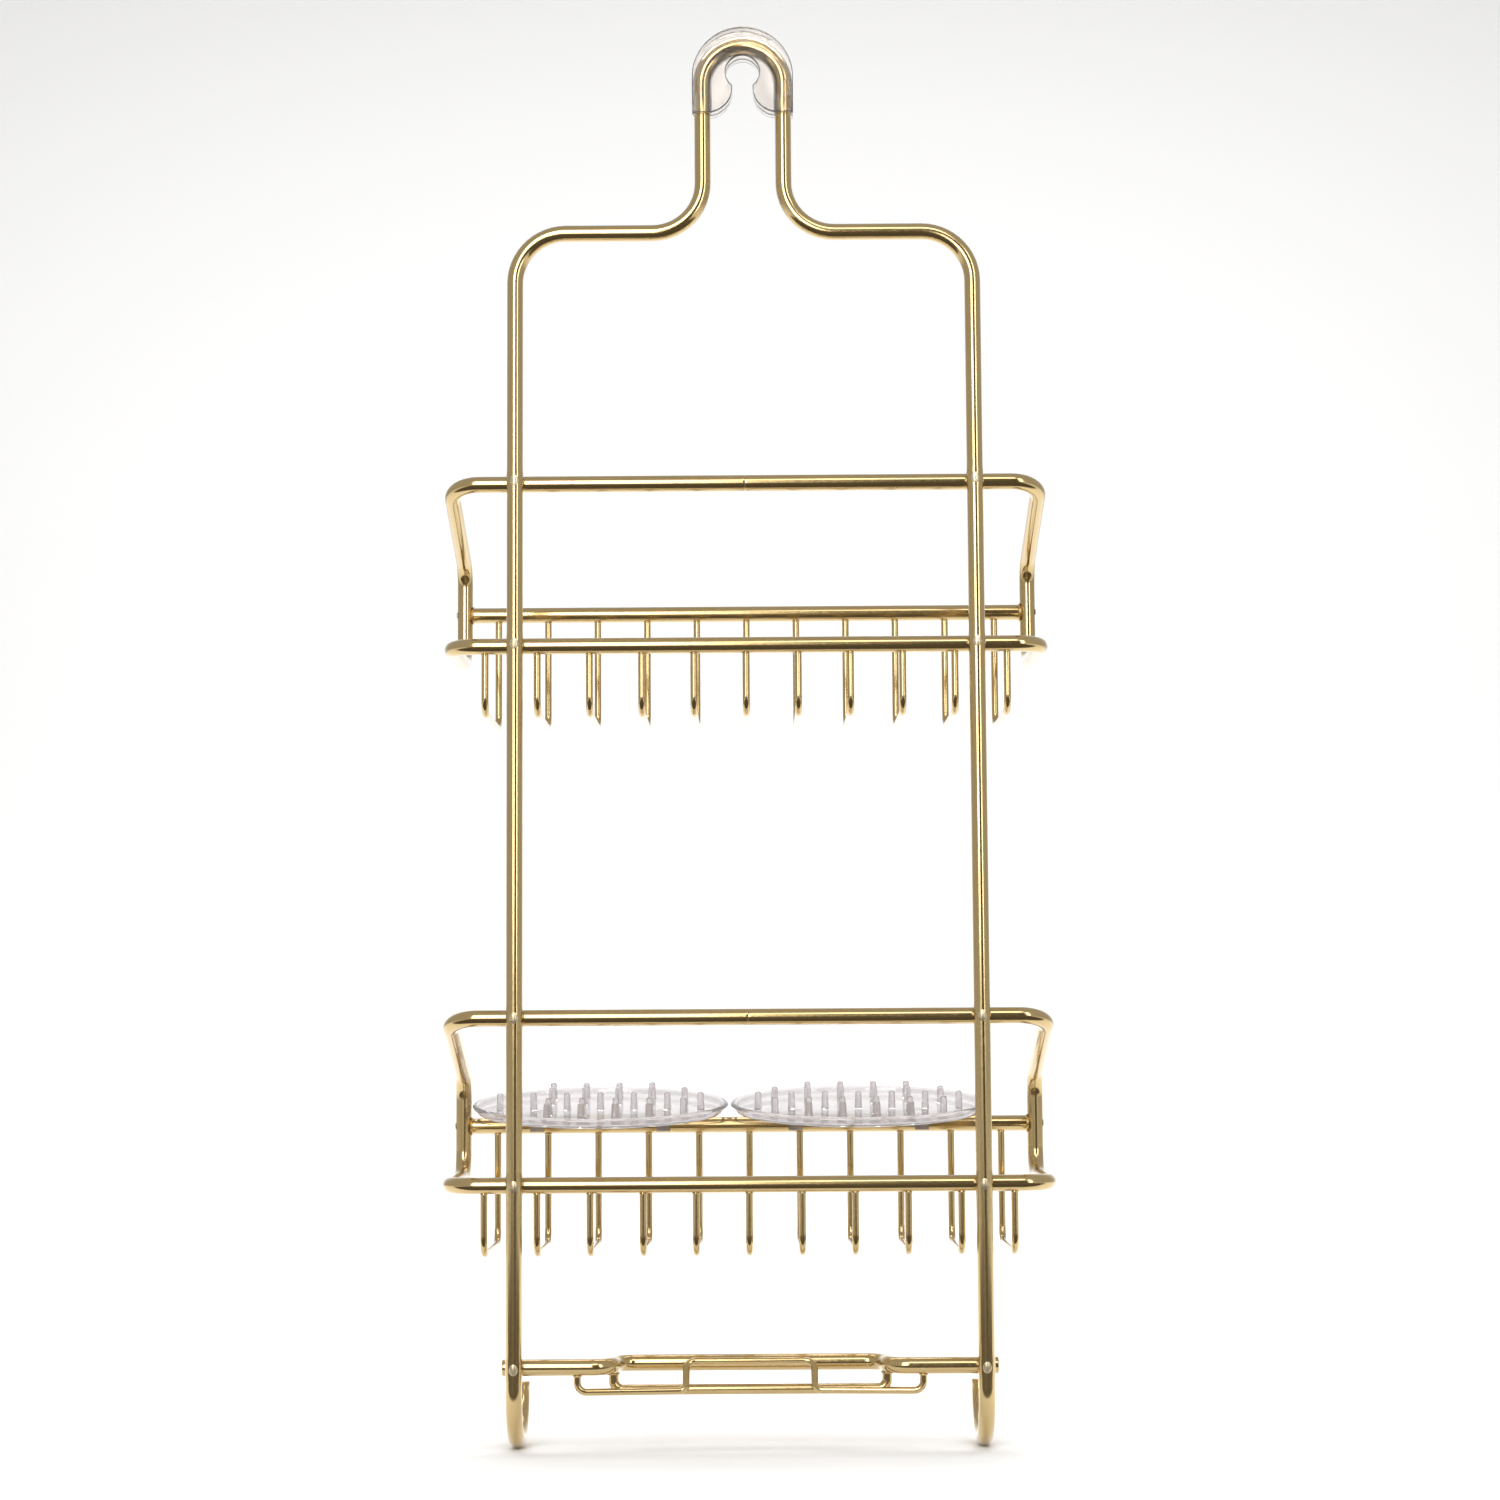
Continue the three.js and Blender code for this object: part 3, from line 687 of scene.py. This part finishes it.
for name, node, sign in (("arm_cover_wall_side", "hook_cover_wall_half", -1),
                         ("arm_cover_room_side", "hook_cover_room_half", 1)):
    y_from, y_to = sorted((sign * split, sign * cover_half))
    cover = disc_along_y(0, crown_z, cover_r, cover_r, y_from, y_to)
    cover.name = cover.data.name = name
    # The lower half of the disc is drawn down flat, which gives the horseshoe its straight sides.
    bpy.ops.object.mode_set(mode="EDIT")
    bpy.ops.mesh.select_mode(type="VERT")
    bpy.ops.mesh.select_all(action="DESELECT")
    bpy.ops.object.mode_set(mode="OBJECT")
    for vertex in cover.data.vertices:
        vertex.select = vertex.co.z < crown_z - 0.01 * mm
    bpy.ops.object.mode_set(mode="EDIT")
    bpy.ops.transform.resize(value=(1, 1, 0), center_override=(0, 0, crown_z))
    bpy.ops.transform.translate(value=(0, 0, cover_low.z - crown_z))
    bpy.ops.object.mode_set(mode="OBJECT")
    # The seat, the throat below it, and the round lower corner of each horn.
    boolean(cover, disc_along_y(0, 0, seat, seat, y_from - mm, y_to + mm), "DIFFERENCE")
    throat = block((-lip_x, y_from - mm, cover_low.z - mm), (lip_x, y_to + mm, lip_z + mm))
    boolean(cover, throat, "DIFFERENCE")
    for side in (-1, 1):
        round_x, round_z = side * (lip_x + horn_round), cover_low.z + horn_round
        waste_from, waste_to = sorted((side * (lip_x - mm), round_x))
        waste = block((waste_from, y_from - mm, cover_low.z - mm), (waste_to, y_to + mm, round_z))
        horn = disc_along_y(round_x, round_z, horn_round, horn_round, y_from - 2 * mm, y_to + 2 * mm)
        boolean(waste, horn, "DIFFERENCE")
        boolean(cover, waste, "DIFFERENCE")

    channel = bend_rod("channel", [
        (-arch_bend, 0, channel_low), (-arch_bend, 0, arch_top),
        (arch_bend, 0, arch_top), (arch_bend, 0, channel_low),
    ], [arch_bend] * 2, rod + channel_room)
    boolean(cover, channel, "DIFFERENCE")

    # The panel and the catches are pressed a little way into the outer face.
    face_from, face_to = sorted((sign * (cover_half - panel_depth), sign * (cover_half + mm)))
    panel = disc_along_y(0, crown_z, panel_r, panel_r, face_from, face_to)
    under_panel = disc_along_y(0, arch_z, panel_inner, panel_inner, face_from - mm, face_to + mm)
    boolean(panel, under_panel, "DIFFERENCE")
    panel_ends = block((-panel_x, face_from - mm, panel_low), (panel_x, face_to + mm, panel_high))
    boolean(panel, panel_ends, "INTERSECT")
    boolean(cover, panel, "DIFFERENCE")
    for side in (-1, 1):
        catch_from, catch_to = sorted((side * catch_in, side * catch_out))
        catch = block((catch_from, face_from, catch_low), (catch_to, face_to, catch_high))
        boolean(cover, catch, "DIFFERENCE")
    bpy.ops.object.select_all(action="DESELECT")
    bpy.context.view_layer.objects.active = cover
    cover.select_set(True)
    soften = cover.modifiers.new("soften", "BEVEL")
    soften.width = 0.25 * mm
    soften.segments = 2
    soften.angle_limit = math.radians(50)
    bpy.ops.object.modifier_apply(modifier="soften")
    wall = cover.modifiers.new("wall", "SOLIDIFY")
    wall.thickness = cover_wall
    wall.offset = -1
    wall.use_quality_normals = True
    bpy.ops.object.modifier_apply(modifier="wall")
    bpy.ops.object.shade_smooth_by_angle(angle=math.radians(35))
    finish_piece(cover, clear_plastic, "frame", "clear_cover", node)

# ---- Soap dishes
# Each dish is one clear moulding: an oval tray with a rolled rim, standing pins that keep the soap out
# of the water, and two C clips below that snap over the front rail. It is tilted about the rail.

# The same styrene in a thicker tray, which is a little milky. Its faint greyish pink tint is painted
# reflection.
milky_plastic, surface = new_material("milky_clear_styrene_moulded")
surface.inputs["Base Color"].default_value = hex_colour("#e6e2e3")
surface.inputs["Transmission Weight"].default_value = 0.85
surface.inputs["Roughness"].default_value = 0.05
surface.inputs["IOR"].default_value = 1.5
places = add_node(milky_plastic, "ShaderNodeTexCoord", {}).outputs["Object"]
flow = add_node(milky_plastic, "ShaderNodeTexNoise", {
    "Vector": places, "Scale": 1 / flow_length, "Detail": 1.0})
ripple = add_node(milky_plastic, "ShaderNodeBump", {
    "Height": flow.outputs["Fac"], "Strength": 0.2, "Distance": 0.4 * mm})
milky_plastic.node_tree.links.new(ripple.outputs["Normal"], surface.inputs["Normal"])

dish_width = 86 * mm
dish_tilt = math.radians(10)
tray_under = 5.8 * mm
under_in = 8.5 * mm
tray_floor = 8 * mm
pin_height = 9 * mm
pin_foot = 2 * mm
pin_top = 1.5 * mm
pin_sunk = 1 * mm
pin_round = 1.1 * mm
pin_pitch = 17 * mm
pin_row_pitch = 13.5 * mm
pin_margin = 9 * mm
clip_inner = rod + 0.25 * mm
clip_outer = rod + 2.2 * mm
clip_half = 3.5 * mm
clip_offset = 32 * mm
clip_mouth = math.radians(58)

# Each step is how far in from the rim's widest line, and how high above the rail's middle.
rim_steps = (
    (5.6, 6.0), (3.6, 6.6), (2.0, 7.8), (1.0, 9.2), (0.4, 9.8), (0, 10.5), (0.2, 11.2), (0.8, 11.7),
    (1.6, 11.8), (2.4, 11.5), (2.9, 10.9), (3.2, 10.0), (3.7, 9.0), (4.7, 8.3), (6.2, 8.05), (8.6, 8.0),
)

# The pin is drawn once: a tapered post with a round top.
bpy.ops.object.select_all(action="DESELECT")
bpy.ops.mesh.primitive_cone_add(
    vertices=20, radius1=pin_foot, radius2=pin_top, depth=pin_height + pin_sunk,
    location=(0, 0, tray_floor + (pin_height - pin_sunk) / 2))
pin = bpy.context.object
bpy.ops.object.transform_apply(location=True, rotation=True, scale=True)
rounding = pin.modifiers.new("rounding", "BEVEL")
rounding.width = pin_round
rounding.segments = 4
rounding.angle_limit = math.radians(60)
bpy.ops.object.modifier_apply(modifier="rounding")

# The clip is drawn once too: a short ring round the rail, open below by the mouth's angle to each side.
across_rail = (0, math.radians(90), 0)
bpy.ops.object.select_all(action="DESELECT")
bpy.ops.mesh.primitive_cylinder_add(vertices=64, radius=clip_outer, depth=2 * clip_half, rotation=across_rail)
clip = bpy.context.object
bpy.ops.mesh.primitive_cylinder_add(vertices=64, radius=clip_inner, depth=4 * clip_half, rotation=across_rail)
boolean(clip, bpy.context.object, "DIFFERENCE")
bpy.ops.object.transform_apply(location=True, rotation=True, scale=True)
mouth_z = -clip_inner * math.cos(clip_mouth)
past_clip = 10 * mm
mouth = block((-past_clip, -clip_outer - mm, -past_clip), (past_clip, clip_outer + mm, mouth_z))
boolean(clip, mouth, "DIFFERENCE")

for side in ("left", "right"):
    node = f"{side}_soap_dish"
    dish_low, dish_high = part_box(node)
    middle_x = (dish_low.x + dish_high.x) / 2
    half_length = (dish_high.x - dish_low.x) / 2
    half_width = dish_width / 2

    # The tray starts as its flat underside, and is drawn up, over the rim and down on to its floor.
    at_in, at_z = under_in, tray_under
    bpy.ops.object.select_all(action="DESELECT")
    bpy.ops.mesh.primitive_circle_add(vertices=128, radius=1, fill_type="NGON", location=(0, 0, at_z))
    dish = bpy.context.object
    dish.scale = (half_length - at_in, half_width - at_in, 1)
    dish.name = dish.data.name = f"{side}_oval_dish"
    bpy.ops.object.transform_apply(location=True, rotation=True, scale=True)
    bpy.ops.object.mode_set(mode="EDIT")
    bpy.ops.mesh.select_all(action="SELECT")
    for step_in, step_z in rim_steps:
        to_in, to_z = step_in * mm, step_z * mm
        bpy.ops.mesh.extrude_region_move(TRANSFORM_OT_translate={"value": (0, 0, to_z - at_z)})
        bpy.ops.transform.resize(value=(
            (half_length - to_in) / (half_length - at_in), (half_width - to_in) / (half_width - at_in), 1))
        at_in, at_z = to_in, to_z
    bpy.ops.mesh.select_all(action="SELECT")
    bpy.ops.mesh.normals_make_consistent(inside=False)
    bpy.ops.object.mode_set(mode="OBJECT")

    row_length = half_length - pin_margin * half_length / half_width
    row_width = half_width - pin_margin
    rows = int(2 * row_width / pin_row_pitch)
    feet = []
    for row in range(rows):
        y = (row - (rows - 1) / 2) * pin_row_pitch
        chord = 2 * row_length * math.sqrt(1 - (y / row_width) ** 2)
        count = int(chord / pin_pitch) + 1
        feet += [((i - (count - 1) / 2) * pin_pitch, y, 0) for i in range(count)]
    boolean(dish, join_copies(pin, "pins", feet), "UNION")
    boolean(dish, join_copies(clip, "clips", [(-clip_offset, 0, 0), (clip_offset, 0, 0)]), "UNION")

    rail_low, rail_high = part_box("lower_front_rail")
    dish.rotation_euler = (dish_tilt, 0, 0)
    dish.location = (middle_x, (rail_low.y + rail_high.y) / 2, (rail_low.z + rail_high.z) / 2)
    bpy.ops.object.transform_apply(location=True, rotation=True, scale=True)
    bpy.ops.object.shade_smooth_by_angle(angle=math.radians(35))
    finish_piece(dish, milky_plastic, f"{side}_dish", "clear_dish", node)
for pattern in (pin, clip):
    bpy.data.objects.remove(pattern)
